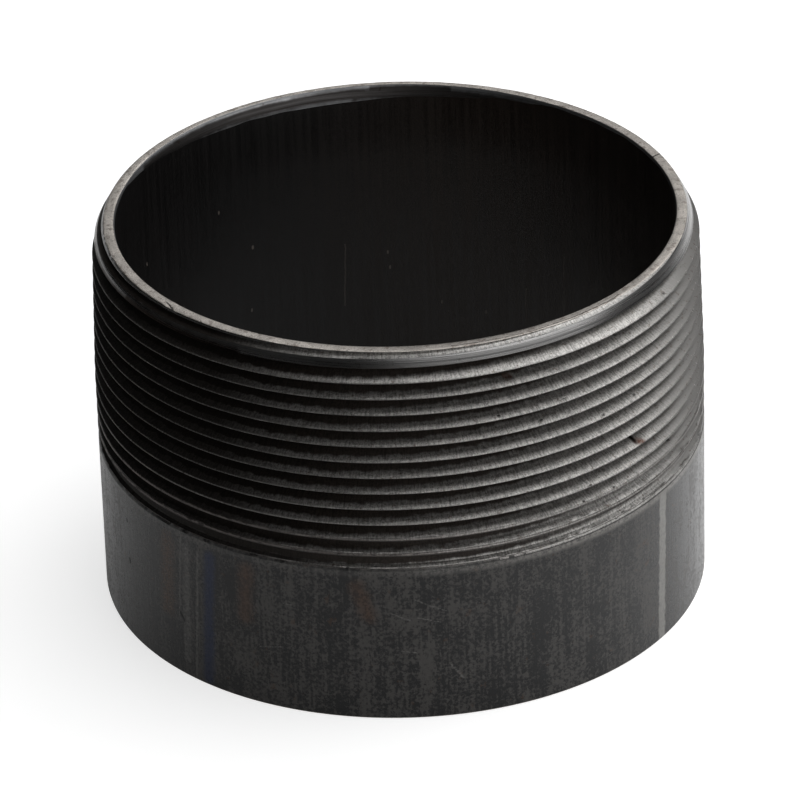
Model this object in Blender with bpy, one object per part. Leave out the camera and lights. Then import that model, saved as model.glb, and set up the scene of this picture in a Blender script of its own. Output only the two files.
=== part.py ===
"""Threaded weld adapter: a short length of steel pipe with a tapered pipe thread cut on one end.

The adapter stands on its plain weld end, centred on the origin, and +Z runs up to the threaded end.
It is turned and threaded from one piece of pipe, so it is one solid. Lengths are in metres.
"""

import math

import bmesh
import bpy
from mathutils import Matrix, Vector

# Pipe
PIPE_DIAMETER = 0.1143
WALL_THICKNESS = 0.0052
LENGTH = 0.075

# Tapered thread, measured down from the threaded end
THREAD_PITCH = 0.003175
THREAD_ANGLE = math.radians(60.0)
FLAT_TRUNCATION = 0.0001
DIAMETER_TAPER = 1.0 / 16.0
FULL_CREST_LENGTH = 0.030
FULL_DEPTH_LENGTH = 0.035
RUN_OUT_LENGTH = 0.0085
LAST_DEPTH = 0.0009
THREAD_START = math.radians(-34.3)

# The die stood a little askew, so the run-out ends higher on one side than on the other
RUN_OUT_TILT = 0.0004
RUN_OUT_DIRECTION = math.radians(-29.0)

# Chamfer outside the threaded end, its angle taken from the axis
CHAMFER_WIDTH = 0.0022
CHAMFER_ANGLE = math.radians(30.0)

# Ream inside the threaded end, cut off centre by hand
REAM_WIDTH = 0.00105
REAM_ANGLE = math.radians(20.5)
REAM_OFFSET = 0.002
REAM_DIRECTION = math.radians(110.0)

# How finely the round shapes are divided, and how far a cutter runs past what it cuts
STEPS_PER_TURN = 72
CUT_MARGIN = 0.005
MERGE_DISTANCE = 0.000002
SMOOTH_ANGLE = math.radians(20.0)

# Least distance between two edges of a fading groove, as a share of half its opening
EDGE_SHARE = 0.1

# Sizes that follow from the ones above
PIPE_RADIUS = PIPE_DIAMETER / 2.0
BORE_RADIUS = PIPE_RADIUS - WALL_THICKNESS
SIDE_TAPER = DIAMETER_TAPER / 2.0
FLANK_SLOPE = math.tan(THREAD_ANGLE / 2.0)
THREAD_DEPTH = THREAD_PITCH / (2.0 * FLANK_SLOPE) - 2.0 * FLAT_TRUNCATION
HALF_ROOT_FLAT = FLAT_TRUNCATION * FLANK_SLOPE
RUN_OUT_SLOPE = (THREAD_DEPTH - LAST_DEPTH) / RUN_OUT_LENGTH
THREAD_END = LENGTH - FULL_DEPTH_LENGTH - RUN_OUT_LENGTH
THREAD_FOOT = THREAD_END - 2.0 * RUN_OUT_TILT
STEP_ANGLE = 2.0 * math.pi / STEPS_PER_TURN
AXIS = Vector((0.0, 0.0, 1.0))
CENTRE = Vector((0.0, 0.0, 0.0))

MILL_SCALE = 0
CUT_STEEL = 1


def crest_cone(height):
    """Radius of the cone that the thread's crests lie on."""
    return PIPE_RADIUS - SIDE_TAPER * (height - LENGTH + FULL_CREST_LENGTH)


def land_radius(height):
    """Radius of the surface left between the grooves: the crest cone, or the pipe where the cone is larger."""
    return min(PIPE_RADIUS, crest_cone(height))


def run_out_end(angle):
    """Height below which nothing is cut on one side of the pipe."""
    return THREAD_END + RUN_OUT_TILT * math.cos(angle - RUN_OUT_DIRECTION)


def groove_floor(height, middle, end):
    """Radius at the bottom of a groove: its root, or the cone of the die's lead where that is larger."""
    root = crest_cone(middle) - THREAD_DEPTH
    return max(root, PIPE_RADIUS - LAST_DEPTH - RUN_OUT_SLOPE * (height - end))


def groove_edges(middle, end):
    """The four edges of a groove from its lower crest edge to its upper one, as (height, radius)."""
    full_depth = land_radius(middle) - crest_cone(middle) + THREAD_DEPTH
    opening = HALF_ROOT_FLAT + full_depth * FLANK_SLOPE
    least = EDGE_SHARE * opening
    top = middle + opening
    foot = min(max(middle - opening, end), top - 3.0 * least)
    lower_depth = min(full_depth, PIPE_RADIUS - groove_floor(foot, middle, end))
    upper_depth = min(full_depth, PIPE_RADIUS - groove_floor(top, middle, end))
    lower_root = min(foot + max(lower_depth * FLANK_SLOPE, least), top - 2.0 * least)
    upper_root = max(top - max(upper_depth * FLANK_SLOPE, least), lower_root + least)
    fade = min(1.0, max(0.0, (top - end) / (3.0 * least)))
    edges = []
    for height in (foot, lower_root, upper_root, top):
        wall = land_radius(height) - min(height - foot, top - height) / FLANK_SLOPE
        radius = max(wall, groove_floor(height, middle, end))
        land = land_radius(height)
        edges.append((height, land - fade * max(0.0, land - radius)))
    return edges


def groove_point(angle, middle, edge):
    """One of a groove's four edges, as a point on the tapered thread or its run-out."""
    height, radius = groove_edges(middle, run_out_end(angle))[edge]
    return on_circle(radius, angle, height)


def on_circle(radius, angle, height):
    return Vector((radius * math.cos(angle), radius * math.sin(angle), height))


def groove_middle(angle):
    """Height of the groove's middle at an angle counted along the helix."""
    return LENGTH + THREAD_PITCH * (angle - THREAD_START) / (2.0 * math.pi)


def edge_chain(bm, points, closed=False):
    verts = [bm.verts.new(point) for point in points]
    edges = [bm.edges.new(pair) for pair in zip(verts, verts[1:])]
    if closed:
        edges.append(bm.edges.new((verts[-1], verts[0])))
    return verts, edges


def sweep_helix(bm):
    """Sweep one pitch of the groove and its land up the helix, from below the run-out to above the end."""
    top_angle = STEP_ANGLE * math.ceil((THREAD_START + 2.0 * math.pi) / STEP_ANGLE)
    turns = (LENGTH - THREAD_FOOT) / THREAD_PITCH + 2.5
    steps = math.ceil(turns * STEPS_PER_TURN)
    start = top_angle - steps * STEP_ANGLE
    middle = groove_middle(start)
    root = PIPE_RADIUS - THREAD_DEPTH
    half_opening = HALF_ROOT_FLAT + THREAD_DEPTH * FLANK_SLOPE
    section = (
        (PIPE_RADIUS, -half_opening),
        (root, -HALF_ROOT_FLAT),
        (root, HALF_ROOT_FLAT),
        (PIPE_RADIUS, half_opening),
        (PIPE_RADIUS, THREAD_PITCH - half_opening),
    )
    verts, edges = edge_chain(bm, [on_circle(radius, start, middle + rise) for radius, rise in section])
    bmesh.ops.spin(
        bm,
        geom=verts + edges,
        cent=CENTRE,
        axis=AXIS,
        dvec=AXIS * (THREAD_PITCH / STEPS_PER_TURN),
        angle=steps * STEP_ANGLE,
        steps=steps,
    )
    bmesh.ops.remove_doubles(bm, verts=bm.verts[:], dist=MERGE_DISTANCE)


def taper_groove(bm):
    """Move each point of the straight sweep to the tapered thread and its run-out."""
    between = PIPE_RADIUS - THREAD_DEPTH / 2.0
    for vert in bm.verts:
        angle = math.atan2(vert.co.y, vert.co.x)
        offset = vert.co.z - groove_middle(angle)
        offset -= THREAD_PITCH * round(offset / THREAD_PITCH)
        middle = vert.co.z - offset
        at_root = vert.co.xy.length < between
        if offset < 0.0:
            edge = 1 if at_root else 0
        else:
            edge = 2 if at_root else 3
        vert.co = groove_point(angle, middle, edge)


def boundary_edges(bm):
    return [edge for edge in bm.edges if edge.is_boundary]


def cut_flat(bm, height, keep_above):
    """Cut the swept surface square to the axis, and return the edges of the cut."""
    bmesh.ops.bisect_plane(
        bm,
        geom=bm.verts[:] + bm.edges[:] + bm.faces[:],
        dist=MERGE_DISTANCE,
        plane_co=AXIS * height,
        plane_no=AXIS,
        clear_inner=keep_above,
        clear_outer=not keep_above,
    )
    return [
        edge
        for edge in boundary_edges(bm)
        if all(abs(vert.co.z - height) < MERGE_DISTANCE for vert in edge.verts)
    ]


def threaded_rod(materials):
    """A solid rod with the thread on it, longer than the adapter at both ends."""
    bm = bmesh.new()
    sweep_helix(bm)
    taper_groove(bm)
    top_edges = cut_flat(bm, LENGTH + THREAD_PITCH / 4.0, keep_above=False)
    bmesh.ops.edgeloop_fill(bm, edges=top_edges)
    foot_edges = cut_flat(bm, THREAD_FOOT, keep_above=True)
    foot = bmesh.ops.extrude_edge_only(bm, edges=foot_edges)["geom"]
    for vert in (item for item in foot if isinstance(item, bmesh.types.BMVert)):
        vert.co.z = -CUT_MARGIN
    bmesh.ops.edgeloop_fill(bm, edges=boundary_edges(bm))
    for face in bm.faces:
        on_pipe = all(vert.co.xy.length > PIPE_RADIUS - MERGE_DISTANCE for vert in face.verts)
        face.material_index = MILL_SCALE if on_pipe else CUT_STEEL
    return new_object("adapter_body", bm, materials)


def turned_ends(materials):
    """The bore, the two end faces and the outer chamfer, turned as one ring wider than the pipe."""
    outer = PIPE_RADIUS + CUT_MARGIN
    rim = crest_cone(LENGTH) - CHAMFER_WIDTH
    chamfer_foot = LENGTH - (outer - rim) / math.tan(CHAMFER_ANGLE)
    section = ((BORE_RADIUS, 0.0), (outer, 0.0), (outer, chamfer_foot), (rim, LENGTH), (BORE_RADIUS, LENGTH))
    bm = bmesh.new()
    # Half a step round, so that no edge of the ring lies in line with an edge of the rod
    points = [on_circle(radius, STEP_ANGLE / 2.0, height) for radius, height in section]
    verts, edges = edge_chain(bm, points, closed=True)
    bmesh.ops.spin(
        bm,
        geom=verts + edges,
        cent=CENTRE,
        axis=AXIS,
        angle=2.0 * math.pi,
        steps=STEPS_PER_TURN,
        use_merge=True,
    )
    for face in bm.faces:
        in_bore = all(vert.co.xy.length < BORE_RADIUS + MERGE_DISTANCE for vert in face.verts)
        face.material_index = MILL_SCALE if in_bore else CUT_STEEL
    return new_object("turned_ends", bm, materials)


def ream_cone(materials):
    """The cone that a reamer leaves inside the threaded end, deeper towards one side."""
    slope = math.tan(REAM_ANGLE)
    reach = CUT_MARGIN + REAM_WIDTH / slope
    at_end = BORE_RADIUS + REAM_WIDTH - REAM_OFFSET
    centre = on_circle(REAM_OFFSET, REAM_DIRECTION, LENGTH)
    bm = bmesh.new()
    bmesh.ops.create_cone(
        bm,
        cap_ends=True,
        segments=STEPS_PER_TURN,
        radius1=at_end - reach * slope,
        radius2=at_end + reach * slope,
        depth=2.0 * reach,
        matrix=Matrix.Translation(centre),
    )
    for face in bm.faces:
        face.material_index = CUT_STEEL
    return new_object("ream_cone", bm, materials)


def new_object(name, bm, materials):
    bmesh.ops.recalc_face_normals(bm, faces=bm.faces[:])
    mesh = bpy.data.meshes.new(name)
    bm.to_mesh(mesh)
    bm.free()
    for material in materials:
        mesh.materials.append(material)
    mesh.shade_smooth()
    mesh.set_sharp_from_angle(angle=SMOOTH_ANGLE)
    obj = bpy.data.objects.new(name, mesh)
    bpy.context.scene.collection.objects.link(obj)
    return obj


def cut_with(obj, tool, operation):
    """Shape an object with a tool solid that stays hidden."""
    tool.hide_render = True
    tool.display_type = "WIRE"
    modifier = obj.modifiers.new(tool.name, "BOOLEAN")
    modifier.operation = operation
    modifier.solver = "EXACT"
    modifier.object = tool


def steel(name, colour, roughness):
    material = bpy.data.materials.new(name)
    material.use_nodes = True
    shader = material.node_tree.nodes["Principled BSDF"]
    shader.inputs["Base Color"].default_value = (*colour, 1.0)
    shader.inputs["Roughness"].default_value = roughness
    shader.inputs["Metallic"].default_value = 1.0
    return material


def main():
    for obj in list(bpy.data.objects):
        bpy.data.objects.remove(obj)
    materials = (
        steel("black_mill_scale", (0.055, 0.054, 0.056), 0.50),
        steel("cut_steel", (0.30, 0.29, 0.28), 0.38),
    )
    adapter = threaded_rod(materials)
    cut_with(adapter, turned_ends(materials), "INTERSECT")
    cut_with(adapter, ream_cone(materials), "DIFFERENCE")


main()
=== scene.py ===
import math

import bmesh
import bpy
from mathutils import Matrix, Vector, noise


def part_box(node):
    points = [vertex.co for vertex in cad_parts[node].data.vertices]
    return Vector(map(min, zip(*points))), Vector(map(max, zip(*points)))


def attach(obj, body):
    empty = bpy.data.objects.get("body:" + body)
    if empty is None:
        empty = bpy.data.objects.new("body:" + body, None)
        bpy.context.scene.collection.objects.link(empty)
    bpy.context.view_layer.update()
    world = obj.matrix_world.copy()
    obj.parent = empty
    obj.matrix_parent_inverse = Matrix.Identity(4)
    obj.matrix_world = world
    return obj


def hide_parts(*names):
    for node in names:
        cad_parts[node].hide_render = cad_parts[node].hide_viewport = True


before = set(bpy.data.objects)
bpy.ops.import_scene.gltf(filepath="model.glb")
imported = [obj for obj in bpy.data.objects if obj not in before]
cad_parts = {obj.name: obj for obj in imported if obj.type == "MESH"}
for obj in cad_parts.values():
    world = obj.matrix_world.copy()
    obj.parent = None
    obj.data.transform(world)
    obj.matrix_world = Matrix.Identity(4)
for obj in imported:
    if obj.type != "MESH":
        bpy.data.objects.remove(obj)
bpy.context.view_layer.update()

bl_info = {
    "name": "Threaded Weld Adapter",
    "version": (1, 1, 0),
    "blender": (4, 5, 0),
    "location": "3D View > Sidebar > Adapter",
    "description": "Builds a short black steel pipe adapter with a tapered thread, and the studio around it",
    "category": "Object",
}

# What the imported model gives: the box of the whole part, and its node
CAD_NODE = "adapter_body"
BODY_LOW, BODY_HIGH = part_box(CAD_NODE)

# How finely the pipe is divided: steps round it, heights of its rows in metres, and rows as shares of a width
STEPS_PER_TURN = 640
BORE_ROWS = (0.060, 0.045, 0.030, 0.015)
SKIN_ROWS = (0.022, 0.011)
RIM_ROWS = (0.33, 0.5, 0.85)
REAM_ROWS = (0.33, 0.66, 1.0)

# How far below the run-out's lowest point the wound strip begins, and how near two points are one, in metres
FOOT_CLEARANCE = 0.0006
WELD_DISTANCE = 0.000002
SHARP_ANGLE = math.radians(40.0)

# The least share of a groove's opening between two of its edges, and the share of a pitch over which it opens
EDGE_SHARE = 0.1
CUT_IN = 0.3

# Sizes of the tears in the last crests, in metres, and how many turns up they reach
COARSE_TEARS, FINE_TEARS = 0.0034, 0.0011
TORN_TURNS = 3.2

# The ream's least width and depth, the waves of its lower edge and the drop to its upper edge, in metres
LEAST_REAM, LEAST_REAM_DEPTH = 0.0002, 0.0004
REAM_WAVE, REAM_WAVE_LENGTH = 0.00012, 0.006
RIM_DROP = 0.00006

# The small roughness of the rim's outer edge: its depth, and the sizes of its chips on a small circle
EDGE_ROUGHNESS = 0.00006
COARSE_CHIPS, FINE_CHIPS, CHIP_CIRCLE = 0.0009, 0.00025, 0.02

# Faces of the pipe, by the finish that they have
MILL_SCALE, CUT_THREAD, TURNED_CHAMFER, WORN_RIM, REAMED, BORE_SCALE = range(6)

# Rows up one pitch of the thread
LOW_ROOT, HIGH_ROOT, CREST_LOW, LAND_LOW, NOTCH, CREST_EDGE, UNDER_EDGE, MID_FLANK, NEXT_ROOT = range(9)

MILLIMETRES = 1000.0
BLACK = (0.0, 0.0, 0.0)


def length_setting(label, description, default):
    return bpy.props.FloatProperty(
        name=label, description=description, default=default, unit="LENGTH", precision=6)


def angle_setting(label, description, degrees):
    return bpy.props.FloatProperty(
        name=label, description=description, default=math.radians(degrees), subtype="ANGLE")


def share_setting(label, description, default):
    return bpy.props.FloatProperty(name=label, description=description, default=default, subtype="FACTOR")


def power_setting(label, description, default):
    return bpy.props.FloatProperty(name=label, description=description, default=default, unit="POWER")


def colour_setting(label, description, default):
    return bpy.props.FloatVectorProperty(
        name=label, description=description, default=default, subtype="COLOR")


class AdapterPipeSettings(bpy.types.PropertyGroup):
    """Sizes of the plain pipe."""

    diameter: length_setting("Outside Diameter", "Outside diameter of the pipe", BODY_HIGH[0] - BODY_LOW[0])
    length: length_setting("Length", "Height of the threaded end", BODY_HIGH[2] - BODY_LOW[2])
    wall: length_setting("Wall", "Wall thickness of the pipe", 0.0052)
    edge_break: length_setting("Edge Break", "How far the pipe's cut edges are rounded", 0.00025)


class AdapterThreadSettings(bpy.types.PropertyGroup):
    """Sizes of the tapered thread."""

    pitch: length_setting("Pitch", "Distance from one crest to the next", 0.003175)
    flank_angle: angle_setting("Thread Angle", "Angle between the two flanks of a groove", 60.0)
    truncation: length_setting("Truncation", "How much of the sharp V is cut off at crest and root", 0.0001)
    taper: share_setting("Taper", "Change of diameter for each unit of length", 1.0 / 16.0)
    crest_length: length_setting(
        "Full Crest Length", "Length from the end over which the crests are cut", 0.030)
    depth_length: length_setting(
        "Full Depth Length", "Length from the end over which the grooves are at full depth", 0.035)
    run_out: length_setting("Run-out", "Length over which the grooves get shallower", 0.0085)
    last_depth: length_setting("Last Depth", "Depth that is left where the thread ends", 0.0009)
    tilt: length_setting(
        "Run-out Tilt", "How far the run-out's end lies above or below its mean height", 0.0004)
    tilt_direction: angle_setting(
        "Tilt Direction", "Side on which the run-out ends highest, from the X axis", -29.0)
    start: angle_setting("Start", "Where the groove comes out of the end, counted from the X axis", -34.3)
    chamfer: length_setting("Chamfer", "Width of the chamfer on the end", 0.0022)
    chamfer_angle: angle_setting("Chamfer Angle", "Angle of the chamfer from the pipe's axis", 30.0)
    blunting: length_setting("Blunting", "How far down its flanks a crest is rounded", 0.00014)
    tearing: length_setting("Tearing", "How much further the last crests are torn off", 0.00030)
    burr: length_setting("Burr", "How far the torn crests at the run-out stand proud of the pipe", 0.00020)
    raggedness: length_setting(
        "Raggedness", "How far the edges of the crests wander up and down", 0.00006)


class AdapterReamSettings(bpy.types.PropertyGroup):
    """Sizes of the cone that a reamer left inside the threaded end."""

    width: length_setting("Width", "Width of the ream where it is widest", 0.00105)
    angle: angle_setting("Angle", "Angle of the ream from the pipe's axis", 20.5)
    offset: length_setting("Offset", "How far off centre the ream was cut", 0.002)
    direction: angle_setting("Direction", "Side on which the ream is deepest, from the X axis", 110.0)


class AdapterFinishSettings(bpy.types.PropertyGroup):
    """Colours of the steel and of what lies on it."""

    scale: colour_setting("Mill Scale", "The black skin left by rolling", (0.0045, 0.0048, 0.0056))
    burnished_scale: colour_setting("Burnished Scale", "The skin where it is rubbed", (0.068, 0.0645, 0.061))
    bare_scale: colour_setting(
        "Bared Scale", "The skin where a scratch or a scuff goes through it", (0.20, 0.195, 0.185))
    scuff: colour_setting("Scuff", "The band that the die scuffed below the thread", (0.29, 0.278, 0.262))
    stain: colour_setting("Blue Stain", "The heat stain on the plain skin", (0.005, 0.013, 0.044))
    brown: colour_setting("Brown Stain", "The brown bands on the plain skin", (0.070, 0.038, 0.022))
    steel: colour_setting("Cut Steel", "The cut flanks of the thread", (0.40, 0.390, 0.375))
    # The root dirt colour also paints shade: in the thread's roots, under its crests and on its left side
    dirt_and_shade_colour: colour_setting("Root Dirt", "Oil and dirt in the roots of the thread", (0.030, 0.0245, 0.021))
    rust: colour_setting("Rust", "The brown specks on the bare steel", (0.085, 0.042, 0.024))
    torn: colour_setting("Torn Crest", "The torn crests at the run-out", (0.21, 0.185, 0.175))
    nick_lip: colour_setting("Nick Lip", "The brown metal beside a nick", (0.105, 0.050, 0.034))
    rim: colour_setting("Worn Rim", "The flat face on the threaded end", (0.64, 0.60, 0.555))
    turned: colour_setting("Turned Steel", "The turned chamfer", (0.37, 0.365, 0.36))
    reamed: colour_setting("Reamed Steel", "The cone inside the threaded end", (0.40, 0.405, 0.415))
    bore: colour_setting("Bore Scale", "The skin inside the pipe", (0.0165, 0.0118, 0.0092))
    bore_mark: colour_setting("Bore Mark", "Scratches and specks in the bore", (0.15, 0.13, 0.115))


class AdapterStageSettings(bpy.types.PropertyGroup):
    """The studio round the adapter."""

    floor_colour: colour_setting("Floor", "Colour of the floor", (0.72, 0.72, 0.72))
    floor_glow: share_setting(
        "Floor Glow", "What the camera sees on the floor beside the light that falls on it", 0.70)
    mirrored_left: share_setting(
        "Mirrored Left", "What steel mirrors of the floor on the left beside its light", 0.21)
    mirrored_right: share_setting(
        "Mirrored Right", "What steel mirrors of the floor on the right beside its light", 0.88)
    right_light: power_setting("Right Light", "Power of the large light high on the right", 15.2)
    back_light: power_setting("Back Light", "Power of the light behind", 0.94)
    front_light: power_setting("Front Light", "Power of the low light in front on the right", 4.0)
    surroundings: share_setting("Surroundings", "Strength of the light from all round", 0.045)
    mirrored_sky: share_setting("Mirrored Surroundings", "What steel mirrors of the surroundings", 0.010)


class ThreadForm:
    """The tapered thread and its run-out, as heights and radii."""

    def __init__(self, pipe, thread):
        self.pipe_radius = pipe.diameter / 2.0
        self.length = pipe.length
        self.pitch = thread.pitch
        self.taper = thread.taper / 2.0
        self.crest_length = thread.crest_length
        self.slope = math.tan(thread.flank_angle / 2.0)
        self.depth = thread.pitch / (2.0 * self.slope) - 2.0 * thread.truncation
        self.half_root = thread.truncation * self.slope
        self.last_depth = thread.last_depth
        self.fade = (self.depth - thread.last_depth) / thread.run_out
        self.mean_end = pipe.length - thread.depth_length - thread.run_out
        self.tilt = thread.tilt
        self.tilt_direction = thread.tilt_direction
        self.start = thread.start
        self.blunting = thread.blunting
        self.tearing = thread.tearing
        self.burr = thread.burr
        self.raggedness = thread.raggedness

    def crest_cone(self, height):
        return self.pipe_radius - self.taper * (height - self.length + self.crest_length)

    def land(self, height):
        return min(self.pipe_radius, self.crest_cone(height))

    def end(self, angle):
        """Height below which nothing is cut."""
        return self.mean_end + self.tilt * math.cos(angle - self.tilt_direction)

    def middle(self, angle):
        """Height of the groove's middle at an angle counted along the helix."""
        return self.length + self.pitch * (angle - self.start) / (2.0 * math.pi)

    def floor(self, height, middle, end):
        """Radius at the bottom of a groove: its root, or the cone of the die's lead where that is larger."""
        lead = self.pipe_radius - self.last_depth - self.fade * (height - end)
        return max(self.crest_cone(middle) - self.depth, lead)

    def edges(self, middle, end):
        """The four edges of a groove from its lower crest edge to its upper one, as (height, radius)."""
        full_depth = self.land(middle) - self.crest_cone(middle) + self.depth
        opening = self.half_root + full_depth * self.slope
        least = EDGE_SHARE * opening
        top = middle + opening
        foot = min(max(middle - opening, end), top - 3.0 * least)
        lower_depth = min(full_depth, self.pipe_radius - self.floor(foot, middle, end))
        upper_depth = min(full_depth, self.pipe_radius - self.floor(top, middle, end))
        lower_root = min(foot + max(lower_depth * self.slope, least), top - 2.0 * least)
        upper_root = max(top - max(upper_depth * self.slope, least), lower_root + least)
        fade = min(1.0, max(0.0, (top - end) / (3.0 * least)))
        edges = []
        for height in (foot, lower_root, upper_root, top):
            land = self.land(height)
            wall = land - min(height - foot, top - height) / self.slope
            radius = max(wall, self.floor(height, middle, end))
            edges.append((height, land - fade * max(0.0, land - radius)))
        return edges

    def section(self, angle):
        """Height and radius of each row up one pitch, from one groove's root to the next one's."""
        end = self.end(angle)
        below = self.middle(angle)
        lower, upper = self.edges(below, end), self.edges(below + self.pitch, end)
        height = upper[0][0]
        above_end = (height - end) / self.pitch
        cut = min(1.0, max(0.0, (below + self.pitch + self.half_root - end) / (CUT_IN * self.pitch)))
        reach = cut * max(0.0, 1.0 - max(0.0, above_end) / TORN_TURNS)
        place = on_circle(self.pipe_radius, angle, height)
        coarse = noise.noise(place / COARSE_TEARS)
        fine = noise.noise(place / FINE_TEARS + Vector((7.0, 0.0, 0.0)))
        torn = self.tearing * reach * min(1.4, max(0.2, 0.8 + 1.1 * coarse + 0.7 * fine))
        lip = self.burr * reach * max(0.0, 0.3 + 0.9 * coarse + 0.9 * fine)
        sway = self.raggedness * cut * (0.6 * coarse + fine) * (1.0 + 1.6 * reach)
        blunt = cut * (self.blunting + torn)
        rows = [None] * (NEXT_ROOT + 1)
        rows[LOW_ROOT], rows[HIGH_ROOT], rows[NEXT_ROOT] = lower[1], lower[2], upper[1]
        rows[CREST_LOW] = along(lower[3], lower[2], cut * self.blunting)
        rows[LAND_LOW] = part_way(lower[3], upper[0], 0.2)
        rows[NOTCH] = moved(part_way(lower[3], upper[0], 0.8), sway, -0.9 * torn - 0.15 * cut * self.blunting)
        rows[CREST_EDGE] = moved(along(upper[0], upper[1], blunt), 0.5 * sway, lip)
        rows[UNDER_EDGE] = along(upper[0], upper[1], 2.0 * blunt + 0.25 * EDGE_SHARE * self.pitch)
        rows[MID_FLANK] = part_way(rows[UNDER_EDGE], rows[NEXT_ROOT], 0.55)
        return rows


class ReamForm:
    """The reamed cone inside the threaded end, set a little off centre."""

    def __init__(self, bore, ream):
        self.bore = bore
        self.offset = ream.offset
        self.direction = ream.direction
        self.cone = bore + ream.width - ream.offset
        self.slope = math.tan(ream.angle)

    def mouth(self, angle):
        """Radius of the ream at the end, and how deep it goes."""
        away = angle - self.direction
        aside = self.offset * math.sin(away)
        reach = self.offset * math.cos(away) + math.sqrt(self.cone ** 2 - aside ** 2)
        radius = max(reach, self.bore + LEAST_REAM)
        wave = REAM_WAVE * noise.noise(on_circle(self.bore, angle, 0.0) / REAM_WAVE_LENGTH)
        return radius, max(LEAST_REAM_DEPTH, (radius - self.bore + wave) / self.slope)


def part_way(first, second, share):
    """The point at a share of the way from one (height, radius) to another."""
    return tuple(start + share * (stop - start) for start, stop in zip(first, second))


def along(first, second, distance):
    """The point at a distance from one (height, radius) towards another, at most a third of the way."""
    length = math.dist(first, second)
    return part_way(first, second, min(1.0 / 3.0, distance / length))


def moved(point, rise, outward):
    return point[0] + rise, point[1] + outward


def on_circle(radius, angle, height):
    return Vector((radius * math.cos(angle), radius * math.sin(angle), height))


def angle_of(co):
    return math.atan2(co.y, co.x)


def set_radius(vert, radius):
    factor = radius / vert.co.xy.length
    vert.co.x *= factor
    vert.co.y *= factor


def helix_mesh(form, foot):
    """The thread as one long strip, wound up the pipe from below the foot to above the threaded end."""
    step = 2.0 * math.pi / STEPS_PER_TURN
    first = math.floor((foot - 1.5 * form.pitch - form.length) / form.pitch * STEPS_PER_TURN)
    columns = STEPS_PER_TURN - first
    angles = [form.start + (first + column) * step for column in range(columns + 1)]
    sections = [form.section(angle) for angle in angles]
    bm = bmesh.new()
    bmesh.ops.create_grid(bm, x_segments=columns, y_segments=NEXT_ROOT, size=0.5)
    for vert in bm.verts:
        column = round((vert.co.x + 0.5) * columns)
        row = round((vert.co.y + 0.5) * NEXT_ROOT)
        height, radius = sections[column][row]
        vert.co = on_circle(radius, angles[column], height)
    bmesh.ops.remove_doubles(bm, verts=bm.verts[:], dist=WELD_DISTANCE)
    return bm


def cut_flat(bm, height, clear_above=False, clear_below=False):
    bmesh.ops.bisect_plane(
        bm, geom=bm.verts[:] + bm.edges[:] + bm.faces[:], dist=WELD_DISTANCE,
        plane_co=(0.0, 0.0, height), plane_no=(0.0, 0.0, 1.0),
        clear_outer=clear_above, clear_inner=clear_below)


def lean(bm, rate):
    """Lift each point by its radius times a rate, so that a cone of that slope lies flat."""
    for vert in bm.verts:
        vert.co.z += vert.co.xy.length * rate


def edges_at(bm, height):
    return [
        edge for edge in bm.edges
        if edge.is_boundary and all(abs(vert.co.z - height) < WELD_DISTANCE for vert in edge.verts)
    ]


def grow(bm, edges, place, finish):
    """Add one ring of faces to an open edge, each new point where place puts it."""
    made = bmesh.ops.extrude_edge_only(bm, edges=edges)["geom"]
    for item in made:
        if isinstance(item, bmesh.types.BMVert):
            item.co = place(angle_of(item.co), item.co)
        elif isinstance(item, bmesh.types.BMFace):
            item.material_index = finish
    return [item for item in made if isinstance(item, bmesh.types.BMEdge) and item.is_boundary]


def grow_to(bm, edges, radius, height, finish):
    """Add one ring of faces that ends on a level circle."""
    return grow(bm, edges, lambda angle, co: on_circle(radius, angle, height), finish)


def chamfer_end(bm, form, thread):
    """Cut the chamfer on the threaded end: the points outside its cone move in to it."""
    rate = 1.0 / math.tan(thread.chamfer_angle)
    rim = form.crest_cone(form.length) - thread.chamfer
    lean(bm, rate)
    cut_flat(bm, form.length + rim * rate)
    lean(bm, -rate)
    for vert in bm.verts:
        radius = rim + (form.length - vert.co.z) / rate
        vert.tag = vert.co.xy.length > radius - WELD_DISTANCE
        if vert.tag:
            set_radius(vert, radius)
    for face in bm.faces:
        if all(vert.tag for vert in face.verts):
            face.material_index = TURNED_CHAMFER


# Chips out of the rim's outer edge, as (degrees, half width in degrees, depth in metres)
RIM_CHIPS = (
    (-139.8, 1.5, 0.00045),
    (-137.6, 1.0, 0.00020),
    (177.2, 1.1, 0.00022),
    (-173.6, 1.0, 0.00024),
    (-171.1, 0.8, 0.00028),
    (-164.4, 1.2, 0.00020),
    (-44.0, 1.3, 0.00022),
)


def chipped(angle):
    """How far the rim's outer edge is chipped away at an angle."""
    place = on_circle(CHIP_CIRCLE, angle, 0.0)
    rough = noise.noise(place / COARSE_CHIPS) + noise.noise(place / FINE_CHIPS)
    depth = EDGE_ROUGHNESS * max(0.0, 0.5 + rough)
    for middle, half_width, chip in RIM_CHIPS:
        away = (math.degrees(angle) - middle + 180.0) % 360.0 - 180.0
        depth += chip * max(0.0, 1.0 - (away / half_width) ** 2)
    return depth


def add_rim(bm, ring, form, ream, edge):
    """Round the rim's chipped outer edge and lay the flat face nearly as far as the ream."""
    def edge_row(step_in, drop):
        def place(angle, co):
            chip = chipped(angle)
            return on_circle(co.xy.length - step_in - 0.5 * chip, angle, form.length - drop - 0.35 * chip)
        return place

    def face_row(share):
        def place(angle, co):
            outer = co.xy.length
            return on_circle(outer + (ream.mouth(angle)[0] - outer) * share, angle, form.length)
        return place

    ring = grow(bm, ring, edge_row(edge * 0.55, edge * 0.3), WORN_RIM)
    ring = grow(bm, ring, edge_row(edge * 0.7, 0.0), WORN_RIM)
    for share in RIM_ROWS:
        ring = grow(bm, ring, face_row(share), WORN_RIM)
    return ring


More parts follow.
